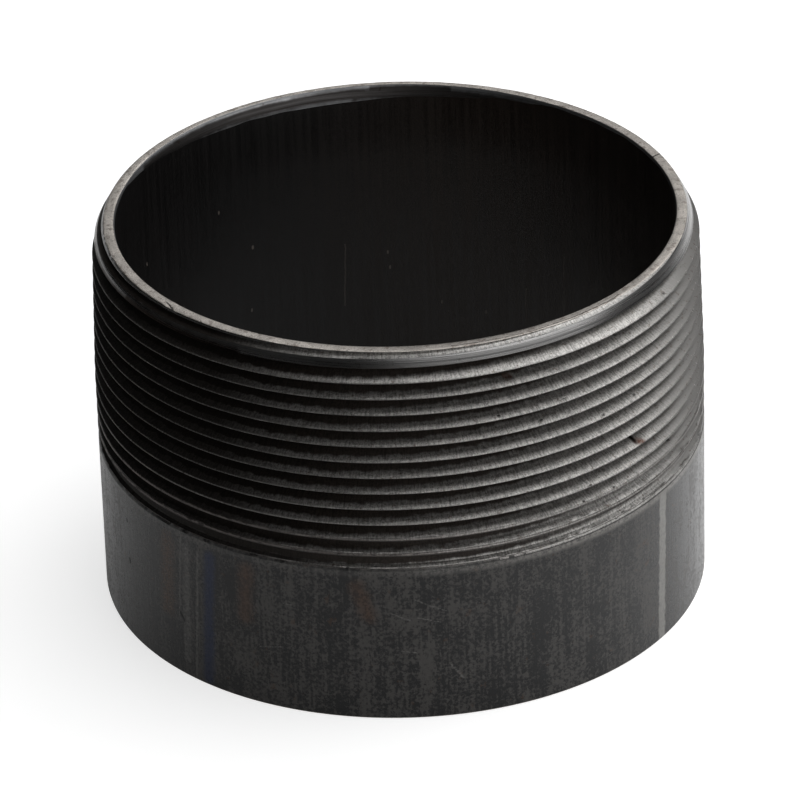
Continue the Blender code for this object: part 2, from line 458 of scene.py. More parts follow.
def add_ream(bm, ring, form, ream):
    """Break the rim's inner edge and carry the reamed cone down to the bore."""
    def cone_row(share):
        def place(angle, co):
            radius, depth = ream.mouth(angle)
            height = form.length - RIM_DROP - depth * share
            return on_circle(radius + (ream.bore - radius) * share, angle, height)
        return place

    ring = grow(bm, ring, cone_row(0.0), WORN_RIM)
    for share in REAM_ROWS:
        ring = grow(bm, ring, cone_row(share), REAMED)
    return ring


def pipe_mesh(pipe, thread, ream_settings):
    """The whole adapter as one closed mesh."""
    form = ThreadForm(pipe, thread)
    ream = ReamForm(form.pipe_radius - pipe.wall, ream_settings)
    edge_break = pipe.edge_break
    foot = form.mean_end - form.tilt - FOOT_CLEARANCE
    rim_edge = edge_break / 2.0
    top = form.length - rim_edge
    bm = helix_mesh(form, foot)
    for face in bm.faces:
        centre = face.calc_center_median()
        below_end = centre.z < form.end(angle_of(centre)) + WELD_DISTANCE
        face.material_index = MILL_SCALE if below_end else CUT_THREAD
    chamfer_end(bm, form, thread)
    cut_flat(bm, top, clear_above=True)
    cut_flat(bm, foot, clear_below=True)

    ring = add_rim(bm, edges_at(bm, top), form, ream, rim_edge)
    ring = add_ream(bm, ring, form, ream)
    for height in (*BORE_ROWS, edge_break):
        ring = grow_to(bm, ring, ream.bore, height, BORE_SCALE)
    inner_ring = grow_to(bm, ring, ream.bore + edge_break, 0.0, WORN_RIM)

    ring = edges_at(bm, foot)
    for height in (*SKIN_ROWS, edge_break):
        ring = grow_to(bm, ring, form.pipe_radius, height, MILL_SCALE)
    outer_ring = grow_to(bm, ring, form.pipe_radius - edge_break, 0.0, WORN_RIM)
    for face in bmesh.ops.bridge_loops(bm, edges=inner_ring + outer_ring)["faces"]:
        face.material_index = WORN_RIM
    bmesh.ops.remove_doubles(bm, verts=bm.verts[:], dist=WELD_DISTANCE)
    bmesh.ops.recalc_face_normals(bm, faces=bm.faces[:])
    return bm


class Nodes:
    """Adds nodes to a tree, with each input set to a value or joined to a socket."""

    def __init__(self, tree):
        self.tree = tree

    def put(self, socket, value):
        if isinstance(value, bpy.types.NodeSocket):
            self.tree.links.new(value, socket)
        else:
            socket.default_value = value

    def add(self, kind, inputs, **settings):
        node = self.tree.nodes.new(kind)
        for name, value in settings.items():
            setattr(node, name, value)
        for key, value in inputs.items():
            self.put(node.inputs[key], value)
        return node

    def math(self, operation, *values, clamp=False):
        inputs = dict(enumerate(values))
        return self.add("ShaderNodeMath", inputs, operation=operation, use_clamp=clamp).outputs[0]

    def vector(self, operation, *values):
        node = self.add("ShaderNodeVectorMath", dict(enumerate(values)), operation=operation)
        return node.outputs["Value" if operation in {"DOT_PRODUCT", "LENGTH"} else "Vector"]

    def scaled(self, vector, factor):
        node = self.add("ShaderNodeVectorMath", {0: vector, "Scale": factor}, operation="SCALE")
        return node.outputs["Vector"]

    def combined(self, **parts):
        return self.add("ShaderNodeCombineXYZ", parts).outputs[0]

    def ramp(self, value, start, stop, first=0.0, last=1.0):
        """A value that goes smoothly from first to last while the input goes from start to stop."""
        inputs = {"Value": value, "From Min": start, "From Max": stop, "To Min": first, "To Max": last}
        return self.add("ShaderNodeMapRange", inputs, interpolation_type="SMOOTHSTEP").outputs["Result"]

    def mix(self, share, first, second):
        inputs = {0: share, 6: as_colour(first), 7: as_colour(second)}
        return self.add("ShaderNodeMix", inputs, data_type="RGBA").outputs[2]

    def noise(self, vector, detail=3.0, roughness=0.55):
        inputs = {"Vector": vector, "Scale": 1.0, "Detail": detail, "Roughness": roughness}
        return self.add("ShaderNodeTexNoise", inputs).outputs["Fac"]

    def group(self, tree, **inputs):
        node = self.add("ShaderNodeGroup", {}, node_tree=tree)
        for name, value in inputs.items():
            self.put(node.inputs[name.title()], value)
        return node.outputs

    def largest(self, first, *others):
        for mask in others:
            first = self.math("MAXIMUM", first, mask)
        return first

    def product(self, first, *others):
        for factor in others:
            first = self.math("MULTIPLY", first, factor)
        return first

    def total(self, *shares):
        """The sum of several (value, weight) pairs, kept between 0 and 1."""
        result = 0.0
        for value, weight in shares:
            result = self.math("MULTIPLY_ADD", value, weight, result, clamp=True)
        return result

    def rest(self, mask):
        return self.math("SUBTRACT", 1.0, mask)


def as_colour(value):
    if isinstance(value, bpy.types.NodeSocket):
        return value
    return (*value, 1.0)


def toned(colour, factor):
    return [factor * part for part in colour]


SOCKETS = {"value": "NodeSocketFloat", "vector": "NodeSocketVector"}


def new_group(name, inputs, outputs):
    """A shader node group with named sockets: its tree, its nodes, its inputs and what it puts out."""
    tree = bpy.data.node_groups.new(name, "ShaderNodeTree")
    for label, kind in inputs.items():
        tree.interface.new_socket(name=label, in_out="INPUT", socket_type=SOCKETS[kind])
    for label, kind in outputs.items():
        tree.interface.new_socket(name=label, in_out="OUTPUT", socket_type=SOCKETS[kind])
    entry = tree.nodes.new("NodeGroupInput")
    leave = tree.nodes.new("NodeGroupOutput")
    return tree, Nodes(tree), entry.outputs, leave.inputs


def pipe_place_group(form):
    """Where a point lies on the pipe and its thread, in millimetres, degrees and turns."""
    outputs = {
        "Point": "vector", "Round": "vector", "Skin": "vector", "Face": "vector",
        "Height": "value", "Angle": "value", "Phase": "value", "Away": "value", "Above End": "value",
    }
    tree, nodes, _, leave = new_group("Pipe Place", {}, outputs)
    point = nodes.scaled(nodes.add("ShaderNodeTexCoord", {}).outputs["Object"], MILLIMETRES)
    flat = nodes.vector("MULTIPLY", point, (1.0, 1.0, 0.0))
    split = nodes.add("ShaderNodeSeparateXYZ", {0: point}).outputs
    height = split["Z"]
    turn = nodes.math("ARCTAN2", split["Y"], split["X"])
    across = nodes.product(turn, form.pipe_radius * MILLIMETRES)
    round_axis = nodes.vector("NORMALIZE", flat)
    # Phase counts from one groove's middle to the next one's, and Away from a crest to a root
    from_top = nodes.math("SUBTRACT", height, form.length * MILLIMETRES)
    climb = nodes.math("DIVIDE", from_top, form.pitch * MILLIMETRES)
    turned = nodes.math("DIVIDE", nodes.math("SUBTRACT", turn, form.start), 2.0 * math.pi)
    phase = nodes.math("FRACT", nodes.math("SUBTRACT", climb, turned))
    from_crest = nodes.math("ABSOLUTE", nodes.math("SUBTRACT", phase, 0.5))
    tilted = on_circle(form.tilt * MILLIMETRES, form.tilt_direction, 0.0)
    end = nodes.math("ADD", nodes.vector("DOT_PRODUCT", round_axis, tilted), form.mean_end * MILLIMETRES)
    values = {
        "Point": point,
        "Round": round_axis,
        "Skin": nodes.combined(X=across, Y=height),
        "Face": nodes.combined(X=across, Y=nodes.vector("LENGTH", flat)),
        "Height": height,
        "Angle": nodes.product(turn, math.degrees(1.0)),
        "Phase": phase,
        "Away": nodes.product(from_crest, 2.0),
        "Above End": nodes.math("SUBTRACT", height, end),
    }
    for name, value in values.items():
        nodes.put(leave[name], value)
    return tree


def streaks_group():
    """Streaks that run round the pipe, or up it where Fineness is small beside Turns."""
    inputs = {"Round": "vector", "Turns": "value", "Across": "value", "Fineness": "value"}
    tree, nodes, entry, leave = new_group("Streaks", inputs, {"Streak": "value"})
    up = nodes.combined(Z=nodes.product(entry["Across"], entry["Fineness"]))
    vector = nodes.vector("ADD", nodes.scaled(entry["Round"], entry["Turns"]), up)
    nodes.put(leave["Streak"], nodes.ramp(nodes.noise(vector, detail=4.0, roughness=0.62), 0.30, 0.70))
    return tree


def specks_group():
    """Small patches of a size, more of them as Cover goes up."""
    inputs = {"Point": "vector", "Size": "value", "Cover": "value"}
    tree, nodes, entry, leave = new_group("Specks", inputs, {"Mask": "value"})
    cloud = nodes.noise(nodes.vector("DIVIDE", entry["Point"], entry["Size"]), roughness=0.6)
    start = nodes.math("SUBTRACT", 0.78, nodes.product(entry["Cover"], 0.5))
    nodes.put(leave["Mask"], nodes.ramp(cloud, start, nodes.math("ADD", start, 0.06)))
    return tree


def line_group():
    """A scratch or stain from Start to End on an unrolled surface, in millimetres."""
    inputs = {
        "Skin": "vector", "Start": "vector", "End": "vector",
        "Width": "value", "Wander": "value", "Sharpness": "value",
    }
    tree, nodes, entry, leave = new_group("Skin Line", inputs, {"Mask": "value"})
    cloud = nodes.add("ShaderNodeTexNoise", {"Vector": entry["Skin"], "Scale": 0.55, "Detail": 3.0})
    sway = nodes.vector("SUBTRACT", cloud.outputs["Color"], (0.5, 0.5, 0.5))
    place = nodes.vector("ADD", entry["Skin"], nodes.scaled(sway, entry["Wander"]))
    reach = nodes.vector("SUBTRACT", place, entry["Start"])
    line = nodes.vector("SUBTRACT", entry["End"], entry["Start"])
    length = nodes.vector("DOT_PRODUCT", line, line)
    share = nodes.math("DIVIDE", nodes.vector("DOT_PRODUCT", reach, line), length, clamp=True)
    away = nodes.vector("LENGTH", nodes.vector("SUBTRACT", reach, nodes.scaled(line, share)))
    half = nodes.math("DIVIDE", nodes.product(away, 2.0), entry["Width"])
    nodes.put(leave["Mask"], nodes.ramp(half, entry["Sharpness"], 1.0, 1.0, 0.0))
    return tree


class Groups:
    """The node groups that the finishes share, each built once."""

    def __init__(self, form):
        self.radius = form.pipe_radius * MILLIMETRES
        self.place = pipe_place_group(form)
        self.streaks = streaks_group()
        self.specks = specks_group()
        self.line = line_group()


def new_material(name, metallic=0.0, specular=0.5):
    """A material and the inputs of its shader."""
    material = bpy.data.materials.new(name)
    material.use_nodes = True
    shader = material.node_tree.nodes["Principled BSDF"].inputs
    shader["Metallic"].default_value = metallic
    shader["Specular IOR Level"].default_value = specular
    return material, shader


class PipeFinish(Nodes):
    """One of the pipe's materials in the making, with its shader and the place of each point."""

    def __init__(self, name, groups, metallic=0.0, specular=0.5):
        self.material, self.shader = new_material(name, metallic, specular)
        super().__init__(self.material.node_tree)
        self.groups = groups
        self.place = self.group(groups.place)

    def clouds(self, fineness, detail=4.0, roughness=0.55):
        return self.noise(self.scaled(self.place["Point"], fineness), detail, roughness)

    def streaks(self, turns, fineness):
        place = self.place
        streaks = self.group(
            self.groups.streaks, round=place["Round"], turns=turns, across=place["Height"],
            fineness=fineness)
        return streaks["Streak"]

    def specks(self, size, cover, stretch=None):
        point = self.place["Point"]
        if stretch:
            point = self.vector("MULTIPLY", point, stretch)
        return self.group(self.groups.specks, point=point, size=size, cover=cover)["Mask"]

    def lines(self, marks, surface="Skin"):
        """One mask for several marks: two ends (degrees, millimetres), width, wander and sharpness."""
        masks = []
        for (from_angle, from_height), (to_angle, to_height), width, wander, sharpness in marks:
            start = (math.radians(from_angle) * self.groups.radius, from_height, 0.0)
            stop = (math.radians(to_angle) * self.groups.radius, to_height, 0.0)
            masks.append(self.group(
                self.groups.line, skin=self.place[surface], start=start, end=stop,
                width=width, wander=wander, sharpness=sharpness)["Mask"])
        return self.largest(*masks)

    def towards(self, x, y):
        """How far a point faces one side of the pipe, from -1 to 1."""
        return self.vector("DOT_PRODUCT", self.place["Round"], (x, y, 0.0))

    def finished(self, colour, roughness, relief, depth):
        """Join colour, roughness and relief to the shader, and give the material."""
        self.put(self.shader["Base Color"], colour)
        self.put(self.shader["Roughness"], roughness)
        bump = self.add("ShaderNodeBump", {"Height": relief, "Distance": depth, "Strength": 1.0})
        self.put(self.shader["Normal"], bump.outputs["Normal"])
        return self.material


# Marks: two ends as (degrees, millimetres up the pipe), width and wander in millimetres, and sharpness
WELD_SEAM = (((-33.3, 30.9), (-34.0, 0.6), 2.9, 1.1, 0.55),)
LIGHT_LINES = (
    ((-136.0, 29.9), (-137.3, 11.4), 0.60, 0.5, 0.2),
    ((-131.7, 28.2), (-133.4, 0.6), 0.75, 0.4, 0.3),
    ((-134.6, 28.0), (-135.6, 4.0), 2.8, 0.8, 0.0),
)
SCRATCHES = (
    ((-92.9, 22.4), (-89.5, 20.9), 0.42, 0.5, 0.2),
    ((-88.5, 25.2), (-82.9, 22.5), 0.42, 0.6, 0.2),
    ((-88.1, 21.4), (-83.9, 20.3), 0.36, 0.4, 0.2),
    ((-91.5, 14.6), (-88.6, 14.1), 0.38, 0.3, 0.2),
    ((-82.1, 10.9), (-79.9, 8.0), 0.90, 0.8, 0.0),
    ((-113.2, 22.7), (-111.4, 22.6), 0.36, 0.3, 0.2),
    ((-118.3, 12.3), (-113.6, 13.2), 0.40, 0.5, 0.2),
)
DARK_PITS = (
    ((-136.9, 13.3), (-135.9, 11.8), 0.75, 0.3, 0.3),
    ((-154.2, 25.2), (-154.1, 24.8), 0.80, 0.3, 0.3),
    ((-153.8, 16.8), (-153.7, 16.2), 0.80, 0.3, 0.3),
)
BLUE_STAINS = (((-128.8, 28.1), (-130.3, 1.5), 4.0, 1.2, 0.15),)
BROWN_STAINS = (
    ((-139.8, 27.5), (-140.7, 13.0), 6.0, 1.6, 0.1),
    ((-120.6, 27.9), (-121.2, 18.0), 5.5, 1.8, 0.0),
    ((-99.0, 28.0), (-97.0, 22.0), 5.0, 2.0, 0.0),
)
BORE_LINES = (
    ((101.0, 41.3), (101.5, 28.0), 0.55, 0.4, 0.2),
    ((51.3, 43.3), (51.6, 29.8), 0.50, 0.4, 0.1),
    ((61.1, 33.2), (61.2, 26.5), 0.50, 0.4, 0.1),
)
NICKS = (
    ((-41.2, 46.1), (-41.0, 45.6), 1.45, 0.7, 0.2),
    ((-28.9, 39.7), (-28.3, 39.6), 0.70, 0.3, 0.2),
)
NICK_LIPS = (
    ((-41.1, 45.4), (-39.4, 44.9), 1.40, 0.7, 0.1),
    ((-70.2, 67.8), (-68.9, 67.7), 1.10, 0.5, 0.0),
)
REAM_STAINS = (
    ((40.0, 73.0), (98.0, 73.3), 3.2, 0.7, 0.3),
    ((78.0, 73.9), (94.0, 73.9), 2.6, 0.4, 0.4),
    ((96.0, 73.5), (154.0, 73.4), 2.8, 0.6, 0.4),
    ((120.0, 71.6), (160.0, 71.6), 2.0, 0.6, 0.3),
)
CHAMFER_STAINS = (
    ((-152.0, 71.8), (-122.0, 71.8), 3.4, 0.6, 0.3),
    ((-176.0, 71.6), (-152.0, 71.7), 2.0, 0.5, 0.1),
)

# Cracks on the rim: two ends as (degrees, millimetres from the axis), then as above
RIM_CRACKS = (
    ((20.7, 51.5), (21.9, 54.3), 0.60, 0.8, 0.3),
    ((-141.4, 53.2), (-138.2, 54.1), 0.55, 1.0, 0.2),
    ((-131.4, 53.6), (-130.6, 54.2), 0.40, 0.5, 0.2),
    ((-80.0, 53.3), (-62.0, 53.5), 0.28, 0.4, 0.1),
    ((-62.0, 53.4), (-41.5, 53.3), 0.34, 0.5, 0.1),
)

# Specks in the bore as (degrees, millimetres up, width), and pits in the thread as (degrees, millimetres up)
SPECK_LENGTH = 0.4
BORE_SPECKS = tuple(
    ((angle, height), (angle, height - SPECK_LENGTH), width, 0.2, 0.3) for angle, height, width in (
        (122.3, 45.3, 0.75), (130.7, 55.4, 0.60), (91.8, 39.1, 0.60), (91.4, 35.8, 0.55),
        (155.8, 54.3, 0.70), (123.2, 31.7, 0.60), (80.4, 28.0, 0.55), (70.6, 26.7, 0.55)))
PIT_REACH = 0.2
THREAD_PITS = tuple(
    ((angle - PIT_REACH, height), (angle + PIT_REACH, height), 0.42, 0.4, 0.0) for angle, height in (
        (-38.4, 50.7), (-38.5, 41.5), (-41.4, 41.5), (-53.5, 41.6), (-47.5, 38.8), (-45.8, 38.2),
        (-55.0, 38.7), (-47.2, 32.1), (-40.7, 54.9), (-36.5, 54.0), (-49.7, 54.6), (-63.3, 57.8),
        (-68.7, 53.9), (-71.9, 60.8), (-44.3, 68.2), (-29.7, 70.8)))


def mill_scale_finish(groups, colours):
    """The black skin of the pipe, with streaks up it, stains, scratches, a scuffed band at the thread and a
    painted shadow under the thread's end.
    """
    nodes = PipeFinish("black_mill_scale", groups, specular=0.34)
    angle, above_end = nodes.place["Angle"], nodes.place["Above End"]
    fine = nodes.streaks(turns=80.0, fineness=0.06)
    broad = nodes.streaks(turns=13.0, fineness=0.02)
    mottle = nodes.clouds(1.5, detail=5.0, roughness=0.72)
    grain = nodes.clouds(4.2, roughness=0.75)
    rubbed_side = nodes.product(nodes.ramp(angle, -99.6, -98.6), nodes.ramp(angle, -97.0, -80.0, 1.0, 0.0))
    tones = nodes.total(
        (fine, 0.24), (broad, 0.20), (nodes.ramp(nodes.clouds(0.16), 0.35, 0.68), 0.18),
        (nodes.ramp(mottle, 0.37, 0.63), 0.38), (rubbed_side, 0.10))
    tone = nodes.ramp(tones, 0.36, 0.72)
    colour = nodes.mix(tone, colours.scale, colours.burnished_scale)
    colour = nodes.mix(nodes.lines(BLUE_STAINS), colour, colours.stain)
    brown = nodes.product(nodes.lines(BROWN_STAINS), nodes.ramp(mottle, 0.36, 0.6, 0.35, 0.95))
    colour = nodes.mix(brown, colour, colours.brown)
    colour = nodes.mix(nodes.product(nodes.specks(2.2, 0.28), 0.45), colour, colours.brown)

    # The band that the die scuffed, ragged below and fainter to the left
    below = nodes.math("SUBTRACT", nodes.math("MULTIPLY_ADD", mottle, 1.6, -0.8), above_end)
    band = nodes.product(
        nodes.ramp(below, 0.9, 2.0, 1.0, 0.0), nodes.ramp(angle, -90.0, -86.0, 0.3, 1.0),
        nodes.ramp(angle, -88.0, -45.0, 0.45, 1.0))
    scuffed = nodes.product(band, nodes.ramp(mottle, 0.36, 0.60, 0.35, 1.0))
    colour = nodes.mix(scuffed, colour, colours.scuff)

    broken = nodes.ramp(nodes.clouds(2.6, roughness=0.8), 0.40, 0.60)
    scratched = nodes.product(nodes.lines(SCRATCHES), broken, 0.8)
    rubbed = nodes.product(nodes.lines(LIGHT_LINES), nodes.ramp(grain, 0.3, 0.65, 0.15, 0.50))
    dust = nodes.product(nodes.specks(0.42, 0.22), 0.35)
    worn = nodes.largest(scratched, rubbed, dust)
    colour = nodes.mix(worn, colour, colours.bare_scale)
    seam = nodes.product(nodes.lines(WELD_SEAM), nodes.ramp(mottle, 0.34, 0.6, 0.62, 1.0))
    colour = nodes.mix(seam, colour, toned(colours.bare_scale, 1.5))

    # Painted shadow: the thin dark line just under the thread's end, where the torn edge would shade the
    # skin, stronger towards the right
    from_line = nodes.math("ABSOLUTE", nodes.math("ADD", above_end, 0.18))
    painted_end_shadow = nodes.product(
        nodes.ramp(from_line, 0.11, 0.24, 1.0, 0.0), nodes.ramp(grain, 0.38, 0.55, 0.3, 0.9),
        nodes.ramp(angle, -95.0, -60.0, 0.4, 1.0))
    # Real pits and the painted shadow line darken the skin together
    pits = nodes.largest(nodes.lines(DARK_PITS), painted_end_shadow)
    colour = nodes.mix(pits, colour, colours.scale)
    polish = nodes.ramp(tone, 0.1, 0.9, 0.26, 0.44)
    roughness = nodes.total((polish, 1.0), (band, 0.14), (seam, 0.10), (pits, 0.3))
    relief = nodes.total((mottle, 0.5), (grain, 0.3), (fine, 0.3), (worn, -0.3), (pits, -0.5), (seam, 0.15))
    return nodes.finished(colour, roughness, relief, 0.000028)


class ThreadFinish(PipeFinish):
    """The cut thread's material, with what its steel, its dirt and painted shade, and its torn crests share.
    """

    def __init__(self, groups):
        super().__init__("cut_thread", groups, specular=0.15)
        self.side = self.towards(1.0, 0.0)
        # How far a point lies on the left, where the painted shade is laid
        self.left = self.ramp(self.side, -0.62, -0.10, 1.0, 0.0)
        self.above_end = self.place["Above End"]
        self.near_end = self.ramp(self.above_end, 0.5, 1.1, 1.0, 0.0)
        self.away = self.math(
            "MINIMUM", self.place["Away"], self.math("DIVIDE", self.above_end, 1.7), clamp=True)
        self.grain = self.clouds(2.7, roughness=0.8)
        slanted = self.add("ShaderNodeMapping", {
            "Vector": self.place["Skin"], "Rotation": (0.0, 0.0, math.radians(24.0)),
            "Scale": (2.6, 0.85, 1.0)}).outputs[0]
        self.marks = self.total((self.noise(slanted, roughness=0.7), 0.45), (self.grain, 0.55))
        from_crest = self.math("SUBTRACT", self.place["Away"], 0.45)
        self.ragged = self.math("MULTIPLY_ADD", self.marks, 0.9, from_crest)

    def steel(self, colours, rust):
        """Bare steel with chatter, painted shade on the right, painted glints at the crests and brown specks.
        """
        colour = self.mix(
            self.ramp(self.marks, 0.40, 0.60), toned(colours.steel, 0.50), toned(colours.steel, 1.34))
        # Painted shade: the steel is darker on the right below the top turns
        painted_right_shade = self.product(self.ramp(self.side, 0.72, 0.96), self.ramp(self.place["Height"], 74.0, 70.5))
        colour = self.mix(painted_right_shade, colour, toned(colours.steel, 0.52))
        # Painted glints: light specks near the crests
        painted_glints = self.product(self.specks(0.40, 0.26), self.ramp(self.away, 0.06, 0.30, 1.0, 0.0))
        colour = self.mix(painted_glints, colour, toned(colours.steel, 1.9))
        return self.mix(self.product(rust, 0.5), colour, colours.rust)

    def dirt_and_shade_mask(self):
        """Where root dirt and painted shade lie: oil dirt and painted shade in the roots, painted shade on
        the down-facing lower flanks, in the last groove on the left, and on the left everywhere but at the
        crests' edges.
        """
        deep = self.math("MULTIPLY_ADD", self.clouds(0.5), 0.5, self.math("SUBTRACT", self.away, 0.25))
        deep = self.math("SUBTRACT", deep, self.ramp(self.side, -0.35, 0.62, -0.12, 0.34))
        # Oil dirt with painted shade in the roots, less of it on the lit right
        dirt_and_shade_in_root = self.product(self.ramp(deep, 0.26, 0.62), self.ramp(self.side, 0.35, 0.70, 1.0, 0.55))
        # Painted shade on the down-facing flanks under the crests
        shade_below_crest = self.ramp(self.place["Phase"], 0.44, 0.50, 0.85, 0.0)
        # Painted shade in the last groove on the left
        shade_in_last_groove = self.product(
            self.ramp(self.above_end, 0.30, 0.42), self.ramp(self.above_end, 1.5, 2.1, 1.0, 0.0),
            self.ramp(self.side, -0.36, -0.16, 0.95, 0.0))
        patchy = self.ramp(self.grain, 0.43, 0.55, 0.60, 0.0)
        # Painted shade over the left side, broken only at the crests' edges
        shade_on_left = self.product(
            self.left, self.largest(self.ramp(self.ragged, -0.02, 0.10), self.near_end, patchy), 0.95)
        # Less dirt and painted shade near the threaded end, except on the left
        clear_of_dirt_and_shade = self.product(self.ramp(self.place["Height"], 71.6, 73.0), self.rest(self.left))
        return self.product(self.largest(dirt_and_shade_in_root, shade_below_crest, shade_in_last_groove, shade_on_left), self.rest(clear_of_dirt_and_shade))

    def dirt_and_shade_colour(self, colours):
        """Colour of the dirt and painted shade: nearly black on the left, where it is painted shade, lighter
        and browner towards the front.
        """
        patches = self.ramp(self.marks, 0.4, 0.6)
        black = self.mix(patches, toned(colours.dirt_and_shade_colour, 0.35), toned(colours.dirt_and_shade_colour, 0.8))
        brown = self.mix(patches, toned(colours.dirt_and_shade_colour, 0.7), toned(colours.dirt_and_shade_colour, 1.6))
        return self.mix(self.ramp(self.side, -0.55, 0.0), black, brown)

    def run_out(self, colours, colour):
        """A light line of torn metal where the cutting ends, with a painted highlight towards the right, the
        last crests' torn edges and the tears over them.
        """
        # Torn metal with a painted highlight, stronger and brighter towards the right
        torn_end_and_highlight = self.product(
            self.ramp(self.above_end, 0.14, 0.32, 1.0, 0.0), self.ramp(self.marks, 0.44, 0.54, 0.3, 1.0),
            self.ramp(self.side, -0.75, 0.10, 0.35, 0.95))
        lit = self.mix(
            self.ramp(self.side, 0.05, 0.60), toned(colours.torn, 1.1), toned(colours.steel, 1.3))
        colour = self.mix(torn_end_and_highlight, colour, lit)
        last = self.ramp(self.place["Height"], 36.5, 41.0, 1.0, 0.0)
        on_crest = self.product(
            last, self.ramp(self.ragged, 0.06, 0.20, 1.0, 0.0), self.rest(self.near_end),
            self.ramp(self.side, -0.10, 0.45, 1.0, 0.35), self.ramp(self.place["Phase"], 0.42, 0.49), 0.8)
        torn = self.specks(0.8, 0.50, stretch=(0.45, 0.45, 1.8))
        colour = self.mix(on_crest, colour, self.mix(torn, colours.torn, toned(colours.torn, 0.30)))
        from_tear = self.math("ABSOLUTE", self.math("SUBTRACT", self.place["Phase"], 0.565))
        tear = self.product(
            last, self.ramp(from_tear, 0.022, 0.045, 1.0, 0.0), self.ramp(self.grain, 0.35, 0.55), 0.7)
        return self.mix(tear, colour, toned(colours.dirt_and_shade_colour, 0.4))


def cut_thread_finish(groups, colours):
    """Bare flanks with chatter from the die, dark roots of oil dirt and painted shade, painted shade on the
    left, painted glints, brown specks, pits and torn crests.
    """
    nodes = ThreadFinish(groups)
    rust = nodes.specks(0.75, 0.34)
    dirt_and_shade_mask = nodes.dirt_and_shade_mask()
    colour = nodes.mix(dirt_and_shade_mask, nodes.steel(colours, rust), nodes.dirt_and_shade_colour(colours))
    pits = nodes.specks(0.50, 0.20)
    colour = nodes.mix(nodes.product(pits, 0.85), colour, toned(colours.dirt_and_shade_colour, 0.5))
    colour = nodes.run_out(colours, colour)
    lips = nodes.product(nodes.lines(NICK_LIPS), nodes.ramp(nodes.grain, 0.40, 0.56, 0.35, 1.0))
    colour = nodes.mix(lips, colour, colours.nick_lip)
    small_holes = nodes.product(nodes.lines(THREAD_PITS), nodes.ramp(nodes.grain, 0.38, 0.52, 0.45, 1.0))
    holes = nodes.largest(nodes.lines(NICKS), small_holes)
    colour = nodes.mix(holes, colour, toned(colours.dirt_and_shade_colour, 0.3))
    nodes.put(nodes.shader["Metallic"], nodes.math("MULTIPLY_ADD", dirt_and_shade_mask, -0.9, 1.0))
    polish = nodes.ramp(nodes.marks, 0.30, 0.70, 0.38, 0.50)
    roughness = nodes.total((polish, 1.0), (dirt_and_shade_mask, 0.10), (rust, 0.10))
    relief = nodes.total((nodes.marks, 0.75), (pits, -0.3), (holes, -0.7))
    return nodes.finished(colour, roughness, relief, 0.00008)


def turned_finish(name, groups, colours, steel_colour, roughness, turns, fineness, stains, stain_colour):
    """Steel turned or reamed to a cone: fine streaks round it, with painted shade on the right and low in
    front.
    """
    nodes = PipeFinish(name, groups, metallic=1.0)
    tone = nodes.total((nodes.streaks(turns, fineness), 0.80), (nodes.clouds(3.0, roughness=0.7), 0.20))
    colour = nodes.mix(tone, toned(steel_colour, 0.45), toned(steel_colour, 1.5))
    colour = nodes.mix(nodes.product(nodes.specks(1.6, 0.24), 0.4), colour, colours.rust)
    # Painted shade on the right side
    shade_on_right = nodes.ramp(nodes.towards(0.98, -0.20), 0.78, 0.96, 0.0, 0.45)
    colour = nodes.mix(shade_on_right, colour, BLACK)
    # Painted shade low on the front of the cone
    shade_low_in_front = nodes.product(
        nodes.ramp(nodes.towards(0.30, -0.95), 0.72, 0.90),
        nodes.ramp(nodes.place["Height"], 74.2, 72.9, 0.0, 0.6))
    colour = nodes.mix(shade_low_in_front, colour, BLACK)
    colour = nodes.mix(nodes.product(nodes.lines(stains), 0.85), colour, stain_colour)
    polish = nodes.ramp(tone, 0.1, 0.9, roughness + 0.08, roughness - 0.06)
    return nodes.finished(colour, polish, tone, 0.000012)


def worn_rim_finish(groups, colours):
    """The flat end face, speckled, pitted and brown in places, with cracks, and with painted shade towards
    the front.
    """
    nodes = PipeFinish("worn_rim", groups, metallic=1.0)
    grain = nodes.clouds(3.6, roughness=0.75)
    cloud = nodes.clouds(0.35)
    tone = nodes.total((nodes.ramp(grain, 0.35, 0.68), 0.65), (nodes.ramp(cloud, 0.35, 0.65), 0.35))
    colour = nodes.mix(tone, toned(colours.rim, 0.62), toned(colours.rim, 1.25))
    # Painted shade where the face turns towards the front
    shade_in_front = nodes.ramp(nodes.towards(0.42, -0.906), 0.70, 0.94, 0.0, 0.34)
    colour = nodes.mix(shade_in_front, colour, BLACK)
    colour = nodes.mix(nodes.product(nodes.specks(0.9, 0.44), 0.4), colour, colours.rust)
    pits = nodes.product(nodes.specks(0.6, 0.28), 0.85)
    dark = nodes.largest(pits, nodes.lines(RIM_CRACKS, surface="Face"))
    colour = nodes.mix(dark, colour, toned(colours.dirt_and_shade_colour, 0.5))
    relief = nodes.total((grain, 0.7), (dark, -0.6))
    return nodes.finished(colour, nodes.ramp(grain, 0.3, 0.7, 0.58, 0.40), relief, 0.00007)


